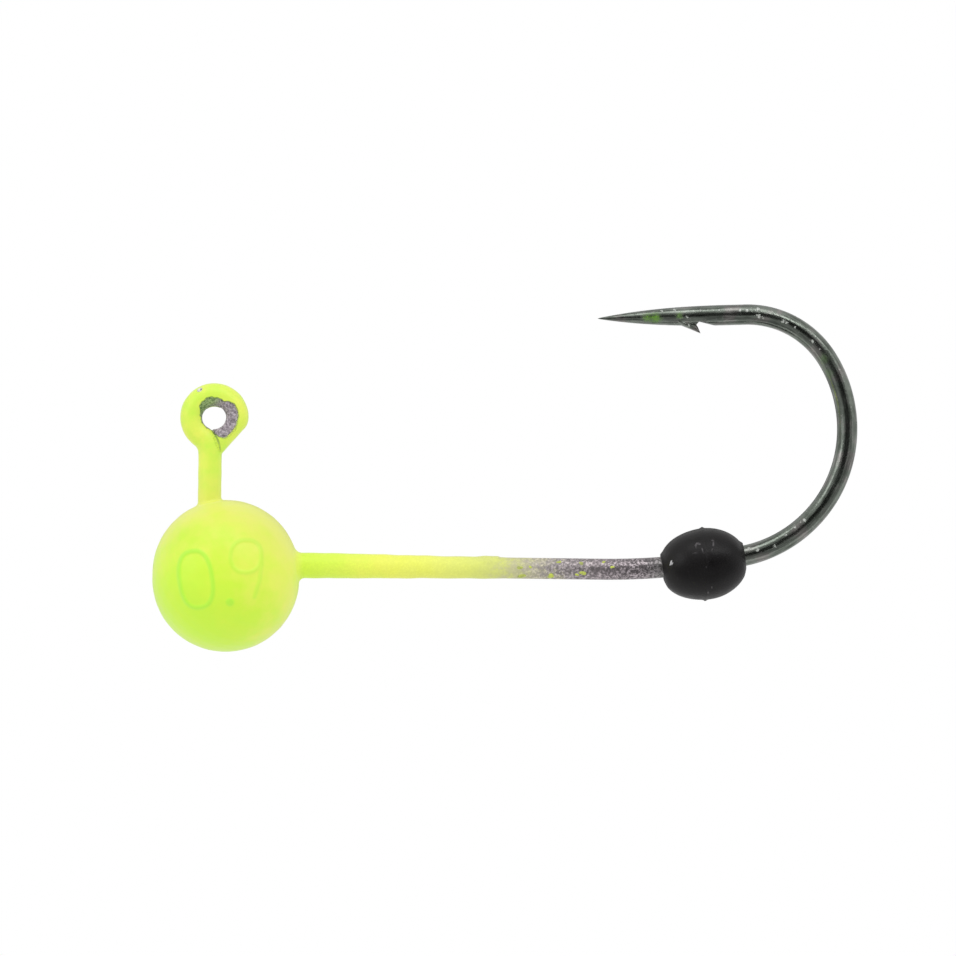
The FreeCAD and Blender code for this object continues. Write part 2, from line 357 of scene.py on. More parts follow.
# The rim of the bare patch round the eye's hole: angle from +X towards +Z, and distance.
chip_rim = [
    (3, 0.93), (27, 0.95), (45, 0.83), (60, 0.71), (96, 0.76), (112, 0.76), (130, 0.71), (145, 0.65),
    (160, 0.53), (182, 0.49), (212, 0.47), (240, 0.47), (262, 0.50), (273, 0.63), (294, 0.88), (310, 0.92),
    (339, 0.92),
]
chip_rim_behind = [
    (0, 0.70), (40, 0.62), (68, 0.36), (115, 0.34), (150, 0.52), (200, 0.50), (255, 0.52), (300, 0.74),
    (330, 0.82),
]
nick_place = (-0.55, -0.30, 1.03)
nick_radius = 0.11
eye_bottom = -1.6
hole_middle = (-0.01, -0.02)
hole_half = (0.462, 0.425)
hole_radius = 0.44


def wobble(points, height, size):
    """A slow, fixed unevenness from about -height to height, in waves of about this size."""
    x, y, z = (points[:, axis] * 2 * math.pi / size for axis in range(3))
    first = np.sin(x + 1.3 * np.sin(0.7 * y + 0.4)) * np.cos(0.9 * z + 0.6)
    second = np.sin(1.7 * y - 0.8 * x + 2.1) * np.sin(1.3 * z + 0.5 * x + 1.0)
    return height * (0.6 * first + 0.4 * second)


def soft_union(a, b, blend):
    """The nearer of two surfaces, with a fillet of about this size where they meet."""
    share = np.clip(0.5 + (b - a) / (2 * blend), 0, 1)
    return b + (a - b) * share - blend * share * (1 - share)


def oval_gap(x, z, half, fullness):
    """The distance from the line of an oval. A fullness above 2 makes it squarer."""
    across, up = np.abs(x / half[0]), np.abs(z / half[1])
    scaled = (across ** fullness + up ** fullness) ** (1 / fullness) + 1e-6
    slope_x, slope_z = ((part / scaled) ** (fullness - 1) for part in (across, up))
    steepness = np.hypot(slope_x / half[0], slope_z / half[1])
    return np.abs(scaled - 1) / np.maximum(steepness, 1e-6)


def stroke_gap(x, z, corners):
    gap = np.full(len(x), np.inf)
    for start, end in zip(corners, corners[1:]):
        along = np.array(end) - np.array(start)
        share = np.clip(((x - start[0]) * along[0] + (z - start[1]) * along[1]) / (along @ along), 0, 1)
        gap = np.minimum(gap, np.hypot(x - start[0] - share * along[0], z - start[1] - share * along[1]))
    return gap


def number_gaps(points):
    """The distances from the lines of the zero and the dot, and from those of the nine."""
    x = points[:, 0] - ball_centre[0]
    z = points[:, 2] - ball_centre[2]
    lean = math.radians(zero_lean)
    zero_x, zero_z = x - zero_place[0], z - zero_place[1]
    turned_x = zero_x * math.cos(lean) + zero_z * math.sin(lean)
    turned_z = zero_z * math.cos(lean) - zero_x * math.sin(lean)
    zero = oval_gap(turned_x, turned_z, zero_half, zero_fullness)
    nine = oval_gap(x - nine_place[0], z - nine_place[1], nine_half, nine_fullness)
    nine = np.minimum(nine, stroke_gap(x, z, nine_stem))
    zero = np.minimum(zero, np.maximum(np.hypot(x - dot_place[0], z - dot_place[1]) - dot_radius, 0))
    behind = far_off * (points[:, 1] > 0)
    return zero + behind, nine + behind


def number_mask(points):
    """One on the lines of the weight number 0.9, on the side of the ball that faces -Y."""
    zero, nine = number_gaps(points)
    return np.maximum(np.exp(-(zero / number_line) ** 2), 0.8 * np.exp(-(nine / number_line) ** 2))


def chip_gap(points):
    """How far outside the bare patch round the eye's hole a point is, seen along Y."""
    x, z = points[:, 0], points[:, 2]
    angle = np.degrees(np.arctan2(z, x)) % 360
    front, behind = (np.interp(angle, *zip(*rim), period=360) for rim in (chip_rim, chip_rim_behind))
    reach = np.where(points[:, 1] > 0.05, behind, front)
    ragged = 0.012 * np.sin(np.radians(angle * 11 + 20)) + 0.010 * np.sin(np.radians(angle * 23 + 40))
    return np.hypot(x, z) - reach - ragged


neck_line = with_neck(Route(ring_start, neck_heading))
ring_line = ring_route()
tail_line = tail_route()
shank_line = Route((ball_centre[0], shank_z), 0).straight(fade_end + 0.5 - ball_centre[0])


def beside_neck(points):
    """The distance of points from the neck's line to the right, seen along Y."""
    x, z = points[:, 0], points[:, 2]
    curved = np.hypot(x - neck_curve_x, z + neck_top_drop) - neck_curve_radius
    return np.where(z > -neck_top_drop, curved, x - neck_x)


def crack_gap(points):
    """The distance from the crack between the eye's straight end and the neck, seen along Y."""
    z = points[:, 2]
    beyond = np.maximum(np.maximum(z - crack_top, crack_bottom - z), 0)
    return np.hypot(beside_neck(points) - wire_radius - 0.02, beyond)


def hole_gap(points):
    """How far outside the eye's hole a point is, seen along Y."""
    offset = (points[:, [0, 2]] - hole_middle) / hole_half
    return (np.hypot(*offset.T) - 1) * hole_radius


def coat_field(points):
    """Below zero inside the lacquered shape."""
    from_ball = points - ball_centre
    over = np.clip(from_ball[:, 2], -ball_half_band, ball_half_band)
    from_ball[:, 2] -= over
    ball = np.linalg.norm(from_ball, axis=1) - ball_radius
    ball -= wobble(points, *ball_wobble) - ball_wobble[0]
    ball -= number_relief * number_mask(points)

    neck_gap = neck_line.distance(points) + 0.018 * smooth_step(-1.1, -1.5, points[:, 2])
    ring_gap = ring_line.distance(points)
    # The straight end of the eye butts against the side of the neck, and a crack is left between them.
    tail_gap = tail_line.distance(points)
    tail = np.maximum(tail_gap - coat_on_wire, wire_radius + 0.01 - beside_neck(points))
    ring = soft_union(ring_gap - coat_on_wire, tail, 0.01)
    eye = soft_union(neck_gap - coat_on_wire, ring, 0.02)

    along = points[:, 0]
    thinned = smooth_step(thin_from, fade_start, along)
    thin = coat_front - (coat_front - coat_thin) * thinned
    thin -= fade_loss * smooth_step(fade_start, fade_end, along)
    thin += wobble(points, *shank_wobble) * smooth_step(3.0, 5.0, along)
    on_top = smooth_step(0.1, 0.35, points[:, 2] - shank_z)
    thin += run_height * on_top * smooth_step(9.9, 10.3, along) * smooth_step(10.85, 10.7, along)
    shank = shank_line.distance(points) - thin

    shape = soft_union(soft_union(ball, eye, ball_fillet), shank, shank_fillet)
    shape -= wobble(points, *all_wobble)
    nick = nick_radius - np.linalg.norm(points - np.array(nick_place), axis=1)
    chipped = np.maximum(np.maximum(shape, -chip_gap(points)), nick)
    # Under the bare patch the lacquer's mesh closes inside the wire.
    hole = hole_gap(points)
    core = np.minimum(np.minimum(neck_gap, ring_gap), tail_gap) - coat_core
    near_eye = np.minimum(np.maximum(chipped, -hole), np.maximum(core, 0.03 - hole))
    return np.where(points[:, 2] > eye_bottom, near_eye, shape)


def tube(route, radius, step=0.06):
    return sweep(route, np.linspace(0, route.length, int(route.length / step) + 1), lambda place: radius)


def lacquer_coat():
    seeds = [round_ball(ball_centre, ball_radius + 0.03)]
    seeds += [tube(line, coat_on_wire) for line in (neck_line, ring_line, tail_line)]
    seeds.append(tube(shank_line, coat_front - 0.06))
    points, faces = remeshed(*joined(seeds), coat_voxel)
    points = settled_on(coat_field, points, faces)
    piece = new_object("lacquer", points, faces)
    slope = slope_of(coat_field, points)
    normals = slope / np.maximum(np.linalg.norm(slope, axis=1)[:, None], 1e-6)
    piece.data.normals_split_custom_set_from_vertices([tuple(normal) for normal in normals])
    zero, nine = number_gaps(points)
    chip = chip_gap(points) + far_off * (points[:, 2] < eye_bottom)
    paint_attributes(piece, zero_gap=zero, nine_gap=nine, crack_gap=crack_gap(points), chip_gap=chip)
    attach(piece, "jig")
    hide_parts("lacquer_coat")
    return piece


# ---- hook ----
wire_sides = 44
point_taper = 5.2
point_fullness = 2.5
point_bluntness = 0.014
tip_radius = 0.008
bend_slimming = 0.014
slimming_from, slimming_to = 20, 12  # lengths before the base of the point
barb_length = 0.64
barb_root = -0.20
barb_root_height = 0.29
barb_tip_height = 0.66
barb_edge = 0.004
barb_back = 0.48
barb_width, barb_tip_width = 0.80 * wire_radius, 0.012
barb_narrowing = 0.75
barb_crown = 0.42  # how far its outer face curves down at the sides, as a share of its width
barb_inner_root, barb_inner_lifted = 0.20, 0.32
barb_steps, barb_sides = 16, 9
notch_top = 0.35
notch_deepest = 0.61
notch_end = 1.25
notch_floor = 0.205
notch_span = 1.6


def hook_wire():
    route = whole_wire()
    base = route.length - point_length

    def radius_at(place):
        slim = bend_slimming * smooth_step(base - slimming_from, base - slimming_to, place)
        share = min((route.length - place) / point_taper, 1)
        tip = point_bluntness * (1 - share) * min((route.length - place) / 0.1, 1) ** 0.5
        return max(tip_radius, (wire_radius - slim) * (1 - (1 - share) ** point_fullness) + tip)

    def notched(place, up):
        """The cut behind the barb, in the side of the wire that faces the shank."""
        back = base - place
        depths = (barb_back, notch_top), (notch_deepest, notch_floor), (notch_end, wire_radius)
        level = np.interp(back, *zip(*depths))
        return np.minimum(up, level) if barb_back < back < notch_end else up

    notch_from = base - notch_span
    coarse = np.linspace(0, notch_from, int(notch_from / 0.07))
    fine = np.linspace(notch_from, base, 160)[1:]
    tip = route.length - point_length * (np.linspace(1, 0, 70)[1:]) ** 1.3
    stations = np.concatenate([coarse, fine, tip])
    vertices, faces = sweep(route, stations, radius_at, around=wire_sides, shape=notched)
    return vertices, faces, route, base, np.repeat(stations, wire_sides)


def barb_sliver(route, base):
    """The lifted sliver: its outer face keeps the wire's roundness and narrows to a sharp tip."""
    centre, heading = route.at(base)
    along = direction(heading)
    across = direction(heading + 90)
    turns = [math.pi * (j / (barb_sides - 1) - 0.5) for j in range(barb_sides)]
    vertices = []
    for share in (k / barb_steps for k in range(barb_steps + 1)):
        back = barb_root + share * (barb_length - barb_root)
        lift = barb_root_height + share * (barb_tip_height - barb_root_height)
        width = barb_width * (1 - share) ** barb_narrowing + barb_tip_width
        inner = barb_inner_root
        if back > barb_back:
            lean_share = (back - barb_back) / (barb_length - barb_back)
            inner = barb_inner_lifted + (lift - barb_inner_lifted) * lean_share ** 1.2
        inner = min(inner, lift - barb_edge)
        for turn in turns:
            crown = width * barb_crown * (1 - math.cos(turn))
            vertices.append((back, width * math.sin(turn), max(lift - crown, inner)))
        vertices += [(back, -0.98 * width * math.sin(turn), inner) for turn in turns]
    ring = 2 * barb_sides
    faces = ring_faces(barb_steps + 1, ring, turned=True)
    faces += [tuple(reversed(range(ring))), tuple(barb_steps * ring + j for j in range(ring))]
    local = np.array(vertices)
    flat = centre - local[:, :1] * along + local[:, 2:] * across
    return np.column_stack([flat[:, 0], local[:, 1], flat[:, 1]]), faces


def hook():
    vertices, faces, route, base, places = hook_wire()
    # The inside of the eye is pressed round where the straight end would cross it.
    across = 1 + hole_gap(vertices) / hole_radius
    inside = (across < 1) & (vertices[:, 2] > -1.0)
    for axis, middle in zip((0, 2), hole_middle):
        vertices[inside, axis] = middle + (vertices[inside, axis] - middle) / across[inside]
    sliver = barb_sliver(route, base)
    points, polygons = joined([(vertices, faces), sliver])
    places = np.concatenate([places, np.full(len(sliver[0]), base)])
    piece = new_object("hook_wire", points, polygons)
    # The drawn lines follow the wire, so each point is told its place along and across it.
    above = []
    for place, point in zip(places, points):
        centre, heading = route.at(place)
        above.append((point[[0, 2]] - centre) @ direction(heading + 90))
    paint_attributes(piece, along_wire=places, above_wire=above)
    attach(piece, "jig")
    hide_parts("hook")
    return piece


# ---- stopper bead ----
bead_length = 3.12
bead_radius = 1.335
bead_face_radius = 0.56
bead_sag = 0.05
bead_bore_radius = wire_radius + 0.035
bead_seam_height = 0.022
bead_seam_width = 0.05
bead_seam_tilt = 5.5
bead_nub_height = 0.035
bead_nub_width = 0.07
bead_mouth_depth = 0.08
bead_mouth_flare = 0.06
bead_mouth_steps = 6
bore_margin = 0.10
bead_sides = 128

# Pale scuffs and painted highlights on the side that faces -Y, where the lamps' highlights fall on the
# rubber, each a stroke across and up from the bead's middle.
bead_scuffs_and_highlights = [
    ((-0.20, 0.76), (-0.30, 0.80)), ((-0.30, 0.80), (-0.38, 0.72)), ((-0.38, 0.72), (-0.33, 0.62)),
    ((-0.47, 0.44), (-0.30, 0.45)), ((-0.14, 0.62), (-0.06, 0.42)), ((0.24, 0.92), (0.31, 0.90)),
    ((0.31, 0.90), (0.28, 0.70)), ((0.25, 0.60), (0.24, 0.52)), ((0.25, -0.83), (0.26, -0.86)),
    ((0.14, -1.04), (0.15, -1.08)), ((0.02, -0.08), (0.03, -0.10)), ((-1.245, 0.13), (-1.30, -0.03)),
    ((-1.21, 0.06), (-1.25, -0.03)),
]
bead_shine_from = 17.42


def bead_outline():
    """Places along the bead and reaches from its axis: a mouth, the side, the other mouth, the bore."""
    half = bead_length / 2
    mouth = []
    for k in range(bead_mouth_steps + 1):
        turn = math.radians(90 * k / bead_mouth_steps)
        inward = bead_mouth_depth * (1 - math.sin(turn))
        mouth.append((inward - half, bead_bore_radius + bead_mouth_flare * (1 - math.cos(turn))))
    half_axis = half / math.sqrt(1 - (bead_face_radius / bead_radius) ** 2)
    side = []
    for place in -half * np.cos(np.linspace(0, math.pi, 90)):
        reach = bead_radius * math.sqrt(1 - (place / half_axis) ** 2)
        side.append((place, reach * (1 - (abs(place) / half) ** 12 * 0.10)))
    far_mouth = [(-place, reach) for place, reach in reversed(mouth)]
    bore = np.linspace(half - bore_margin, -half + bore_margin, 14)[1:-1]
    return mouth + side + far_mouth + [(place, bead_bore_radius) for place in bore]


def stopper_bead():
    half = bead_length / 2
    arc_radius, arc_turn = bend_arcs[0]
    bead_angle = arc_turn - math.degrees(half / arc_radius)
    middle = np.array([hinge_x, hinge_z]) + direction(bead_angle - 90) * arc_radius
    along = direction(bead_angle)
    upward = direction(bead_angle + 90)

    outline = bead_outline()
    vertices = []
    for k in range(bead_sides):
        turn = 2 * math.pi * k / bead_sides
        for place, reach in outline:
            outer = smooth_step(bead_bore_radius + 0.02, bead_face_radius + 0.15, reach)
            seam_place = math.tan(math.radians(bead_seam_tilt)) * reach * math.cos(turn)
            seam = math.exp(-((place - seam_place) / bead_seam_width) ** 2) * outer
            nub = math.exp(-((place - seam_place) / bead_nub_width) ** 2) * outer
            nub *= math.exp(-((abs(math.cos(turn)) - 1) / 0.004) ** 2)
            lump = 0.012 * math.sin(2 * turn + 0.8) * outer
            dent = 0.010 * math.sin(3.1 * place + 2 * turn) * outer
            full = reach + bead_seam_height * seam + bead_nub_height * nub + lump + dent
            # The bore follows the curve of the wire, and the outside hangs a little off centre.
            wire_rise = (place ** 2) / (2 * arc_radius) * (1 - outer)
            up = full * math.cos(turn) + wire_rise - bead_sag * outer
            spot = middle + along * place + upward * up
            vertices.append((spot[0], full * math.sin(turn), spot[1]))
    points = np.array(vertices)
    piece = new_object("bead", points, ring_faces(bead_sides, len(outline), looped=True))
    offset = points[:, [0, 2]] - (middle - upward * bead_sag)
    gap = np.full(len(points), far_off)
    for start, end in bead_scuffs_and_highlights:
        gap = np.minimum(gap, stroke_gap(offset[:, 0], offset[:, 1], (start, end)))
    paint_attributes(piece, scuff_gap=gap + far_off * (points[:, 1] > 0))
    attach(piece, "bead")
    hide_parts("stopper_bead")
    return piece


# ---- lacquer flecks that landed on the bare shank ----
# Each: place along the shank, angle round the wire from the side facing -Y towards +Z, size.
flecks = [
    (11.62, -50, 0.13), (11.55, 4, 0.08), (11.95, 8, 0.05), (12.72, -46, 0.12), (13.02, 42, 0.075),
    (13.92, -22, 0.10), (13.86, 34, 0.07), (14.70, 46, 0.06), (15.02, 14, 0.06), (13.70, -32, 0.06),
    (12.30, 150, 0.10), (13.40, 205, 0.09), (14.10, 120, 0.07), (12.90, 250, 0.08), (11.80, 185, 0.12),
]
fleck_rings, fleck_sides = 5, 14
fleck_height, fleck_sunk = 0.030, 0.006
fleck_stretch = 1.35


def lacquer_flecks():
    pieces = []
    for index, (place, angle, size) in enumerate(flecks):
        vertices = []
        for share in (ring / fleck_rings for ring in range(fleck_rings + 1)):
            for turn in (2 * math.pi * k / fleck_sides for k in range(fleck_sides)):
                ragged = 1 + 0.22 * math.sin(2 * turn + index * 1.7) + 0.12 * math.sin(3 * turn + index)
                reach = size * share * ragged
                out = wire_radius + fleck_height * (1 - share ** 2) - fleck_sunk
                swing = math.radians(angle) + reach * math.sin(turn) / wire_radius
                x = place + fleck_stretch * reach * math.cos(turn)
                vertices.append((x, -out * math.cos(swing), shank_z + out * math.sin(swing)))
        faces = ring_faces(fleck_rings + 1, fleck_sides, turned=True)
        faces.append(tuple(fleck_rings * fleck_sides + k for k in range(fleck_sides)))
        pieces.append((np.array(vertices), faces))
    piece = new_object("lacquer_flecks", *joined(pieces))
    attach(piece, "jig")
    return piece


# Green smudges on the point and the bend: places along X and Z, size and strength.
smudges = [
    (16.20, 3.94, 0.30, 1.0), (16.52, 3.92, 0.32, 1.0), (17.42, 4.04, 0.24, 0.8), (15.45, 3.86, 0.20, 0.7),
    (23.0, 1.9, 0.30, 0.25), (22.85, 2.5, 0.30, 0.25),
]

# Painted sparkles: pale spots on the plated bend and arm, where it catches the light: places along X and Z,
# and size.
painted_sparkles = [
    (20.41, 4.06, 0.045), (20.30, 4.09, 0.020), (20.55, 4.02, 0.030), (21.32, 3.89, 0.050),
    (21.44, 3.82, 0.020), (21.75, 3.68, 0.020), (22.43, 3.13, 0.040), (22.69, 2.85, 0.015),
    (20.14, -4.65, 0.035), (20.45, -4.71, 0.035), (21.11, -4.56, 0.030), (21.52, -4.15, 0.025),
    (21.86, -3.86, 0.030), (22.21, -3.58, 0.035), (17.70, 4.00, 0.025), (17.77, 3.71, 0.025),
    (19.67, 4.28, 0.040), (19.94, 4.28, 0.045), (20.36, 4.31, 0.055), (18.90, 4.27, 0.025),
    (18.20, 4.26, 0.035), (17.25, 4.24, 0.035), (16.75, 4.20, 0.030),
]


# ---- materials ----
def light(screen):
    """A screen colour of 0 to 255 as linear light, with full opacity."""
    shares = [value / 255 for value in screen]
    return (*(s / 12.92 if s <= 0.04045 else ((s + 0.055) / 1.055) ** 2.4 for s in shares), 1)


class Nodes:
    """A short way to write the node tree of a material, or of the world."""

    def __init__(self, name, world=False):
        self.owner = (bpy.data.worlds if world else bpy.data.materials).new(name)
        self.owner.use_nodes = True
        self.tree = self.owner.node_tree
        self.tree.nodes.clear()
        self.output = self.add("ShaderNodeOutputWorld" if world else "ShaderNodeOutputMaterial")

    def add(self, kind, *inputs, **settings):
        """A new node. An input is a socket's number or name, with a plain value or a node's output."""
        node = self.tree.nodes.new(kind)
        for key, value in settings.items():
            setattr(node, key, value)
        for key, value in inputs:
            self.feed(node.inputs[key], value)
        return node

    def feed(self, socket, value):
        """Link a node's output into a socket, or set the socket to a plain value."""
        if isinstance(value, bpy.types.NodeSocket):
            self.tree.links.new(value, socket)
        else:
            socket.default_value = value

    def math(self, operation, *values, clamp=False):
        node = self.add("ShaderNodeMath", *enumerate(values), operation=operation, use_clamp=clamp)
        return node.outputs[0]

    def place(self):
        """The position on the part in millimetres, and its three parts."""
        where = self.times(self.add("ShaderNodeTexCoord").outputs["Object"], 1 / MM)
        return where, self.add("ShaderNodeSeparateXYZ", (0, where)).outputs

    def attribute(self, name):
        return self.add("ShaderNodeAttribute", attribute_name=name).outputs["Fac"]

    def distance(self, where, spot):
        """The distance of a place from a fixed spot, both in millimetres."""
        node = self.add("ShaderNodeVectorMath", (0, where), (1, spot), operation="DISTANCE")
        return node.outputs["Value"]

    def combined(self, *parts):
        return self.add("ShaderNodeCombineXYZ", *enumerate(parts)).outputs[0]

    def noise(self, where, scale, detail=2.0, roughness=0.5):
        inputs = ("Vector", where), ("Scale", scale), ("Detail", detail), ("Roughness", roughness)
        return self.add("ShaderNodeTexNoise", *inputs).outputs["Fac"]

    def ramp(self, value, *stops):
        """Screen colours at places from 0 to 1."""
        node = self.add("ShaderNodeValToRGB", (0, value))
        elements = node.color_ramp.elements
        while len(elements) < len(stops):
            elements.new(0.5)
        for element, (position, colour) in zip(elements, stops):
            element.position = position
            element.color = light(colour)
        return node.outputs[0]

    def between(self, value, low, high, start=0.0, end=1.0):
        """value from low to high, turned smoothly into start to end."""
        inputs = enumerate((value, low, high, start, end))
        return self.add("ShaderNodeMapRange", *inputs, interpolation_type="SMOOTHSTEP").outputs[0]

    def mix_value(self, share, first, second):
        """A number from first to second as share goes from 0 to 1."""
        return self.add("ShaderNodeMix", (0, share), (2, first), (3, second), data_type="FLOAT").outputs[0]

    def times(self, colour, factor):
        inputs = (0, colour), ("Scale", factor)
        return self.add("ShaderNodeVectorMath", *inputs, operation="SCALE").outputs[0]

    def blend(self, share, first, second):
        """A colour from first to second. Either is a node's output or a screen colour."""
        first, second = (light(tone) if isinstance(tone, tuple) else tone for tone in (first, second))
        inputs = ("Factor", share), (6, first), (7, second)
        return self.add("ShaderNodeMix", *inputs, data_type="RGBA").outputs[2]

    def bump(self, height, depth, strength=1.0, before=None):
        """Bump from a height of 0 to 1. The depth is in metres."""
        inputs = [("Height", height), ("Distance", depth), ("Strength", strength)]
        if before is not None:
            inputs.append(("Normal", before))
        return self.add("ShaderNodeBump", *inputs).outputs[0]

    def surface(self, **values):
        inputs = [(key.replace("_", " "), value) for key, value in values.items()]
        return self.finished(self.add("ShaderNodeBsdfPrincipled", *inputs))

    def grey(self, shade):
        return self.add("ShaderNodeBsdfDiffuse", ("Color", (shade, shade, shade, 1)))

    def finished(self, shader):
        """The material or world, with this shader as its surface."""
        self.feed(self.output.inputs[0], shader.outputs[0])
        return self.owner


# Colours of the shank's finish at places along X: full lacquer, thin lacquer, then bare grey wire.
shank_tones = [
    (3.0, (210, 243, 66)), (4.6, (214, 242, 74)), (6.6, (233, 239, 90)), (8.5, (232, 238, 108)),
    (9.9, (224, 232, 116)), (10.6, (217, 223, 125)), (11.2, (206, 206, 148)), (12.4, (194, 188, 166)),
    (13.1, (172, 164, 164)), (14.5, (161, 151, 155)), (16.6, (152, 144, 148)),
]


def shank_finish(net, where, x):
    """The colour, roughness, grain and metal share of the shank, both on the lacquer and on the wire."""
    patch = net.noise(where, 1.5, 3.0, 0.6)
    mixed = net.noise(where, 5.5, 3.0, 0.7)
    along = net.math("MULTIPLY_ADD", net.math("SUBTRACT", patch, 0.5), 2.6, x)
    loose = net.between(x, 9.6, 11.6, 0.12, 2.6)
    along = net.math("MULTIPLY_ADD", net.math("SUBTRACT", mixed, 0.5), loose, along)
    first, last = shank_tones[0][0], shank_tones[-1][0]
    share = net.math("DIVIDE", net.math("SUBTRACT", along, first), last - first, clamp=True)
    stops = [((place - first) / (last - first), colour) for place, colour in shank_tones]
    colour = net.ramp(share, *stops)
    fine = net.noise(where, 11.5, 3.0, 0.75)
    spots = net.between(fine, 0.44, 0.64)
    depth = net.between(x, 10.8, 13.8, 0.07, 1.10)
    depth = net.math("ADD", depth, net.between(x, 14.6, 16.0, 0.0, 0.45))
    factor = net.math("MULTIPLY_ADD", net.math("SUBTRACT", spots, 0.43), depth, 1.0)
    colour = net.times(colour, factor)
    rough = net.between(x, 11.0, 14.5, 0.50, 0.40)
    return colour, rough, fine, net.between(x, 11.5, 14.2, 0.0, 0.58)


# Colours of the lacquer on the ball, from its lower left to its upper right. The paler, yellower ones at
# the upper right are painted light.
lacquer_shaded_to_lit_tones = [
    (0.25, (200, 243, 56)), (0.50, (206, 242, 58)), (0.78, (224, 240, 84)), (1.00, (231, 237, 100)),
]


def lacquer_material():
    net = Nodes("lacquer")
    where, (x, y, z) = net.place()
    shank, rough, fine, metallic = shank_finish(net, where, x)
    cloud = net.noise(where, 0.9, 4.0, 0.6)
    # Painted light: the lacquer is yellower and paler towards the top and the right of the ball, as if lit
    # there, and greener low on the left; the cloud adds random patches.
    painted_light_slant = net.math("ADD", net.math("MULTIPLY", z, 0.10), net.math("MULTIPLY", x, 0.075))
    painted_light_slant = net.math("ADD", net.math("ADD", painted_light_slant, 0.64), net.math("MULTIPLY", cloud, 0.85))
    # Painted sheen: the lacquer turns paler towards the ball's rim, away from the middle of its front.
    from_middle = net.distance(where, (ball_centre[0], -ball_radius, ball_centre[2]))
    painted_light_slant = net.math("ADD", painted_light_slant, net.between(from_middle, 1.4, 3.6, 0.0, 0.26))
    paint = net.ramp(painted_light_slant, *lacquer_shaded_to_lit_tones)
    line = net.between(net.attribute("zero_gap"), 0.02, 0.14, 0.85, 0.0)
    line = net.math("MAXIMUM", line, net.between(net.attribute("nine_gap"), 0.02, 0.13, 0.40, 0.0))
    paint = net.blend(line, paint, (178, 240, 58))
    # Painted shade: the top of the ball is made a little darker.
    paint = net.times(paint, net.between(z, -5.8, -4.2, 1.0, 0.93))
    eye_paint = net.ramp(cloud, (0.36, (202, 238, 74)), (0.62, (226, 237, 88)))
    paint = net.blend(net.between(z, -3.3, -1.6), paint, eye_paint)
    colour = net.blend(net.between(x, 3.0, 3.5), paint, shank)
    # Bare wire shows in the chip round the eye's hole, with painted shade along the rim where the lacquer
    # ends, stronger towards the upper left.
    rim = net.between(net.attribute("chip_gap"), 0.005, 0.042, 0.62, 0.0)
    rim = net.math("MULTIPLY", rim, net.between(net.math("SUBTRACT", z, x), -1.3, 0.1, 0.35, 1.0))
    # Painted shade in the crack between the eye's straight end and the neck, not on the back.
    crack = net.math("MULTIPLY_ADD", fine, 0.03, net.attribute("crack_gap"))
    crack_shade = net.between(crack, 0.03, 0.065, 0.72, 0.0)
    crack_shade = net.math("MULTIPLY", crack_shade, net.between(z, -1.25, -0.60, 0.30, 1.0))
    painted_edge_shade = net.math("MAXIMUM", rim, net.math("MULTIPLY", crack_shade, net.between(y, 0.25, 0.15)))
    colour = net.blend(painted_edge_shade, colour, (74, 112, 34))
    # The small nick on the ring is whitish, with a dark spot at one end.
    for shift, size, shade in ((0.0, 0.10, (232, 232, 222)), (0.065, 0.045, (112, 104, 110))):
        spot = (nick_place[0] + shift, nick_place[1], nick_place[2] - shift * 0.3)
        spotted = net.between(net.distance(where, spot), size, size + 0.02, 0.9, 0.0)
        colour = net.blend(spotted, colour, shade)
    orange_peel = net.noise(where, 2.2, 2.0)
    normal = net.bump(orange_peel, 0.010 * MM, 0.6)
    grainy = net.between(x, 9.0, 11.6, 0.03, 1.0)
    normal = net.bump(net.math("MULTIPLY", fine, grainy), 0.016 * MM, 0.9, normal)
    rough = net.math("MULTIPLY_ADD", net.between(x, 2.0, 4.0, 1.0, 0.0), -0.12, rough)
    rough = net.math("MULTIPLY_ADD", cloud, 0.06, rough)
    # Painted glow: the lacquer gives off a little light of its own colour, for its fluorescence, which also
    # flattens its shading.
    painted_glow = net.between(x, 6.0, 12.5, 0.11, 0.0)
    return net.surface(
        Base_Color=colour, Metallic=metallic, Roughness=rough, Normal=normal, Emission_Color=colour,
        Emission_Strength=painted_glow, Sheen_Weight=0.28, Sheen_Roughness=0.45, IOR=1.5,
    )


# Greys of the bright plating, from its dark streaks to its pale ones.
plate_tones = [
    (0.30, (101, 108, 100)), (0.50, (118, 124, 117)), (0.62, (131, 129, 126)), (0.75, (142, 142, 138)),
]


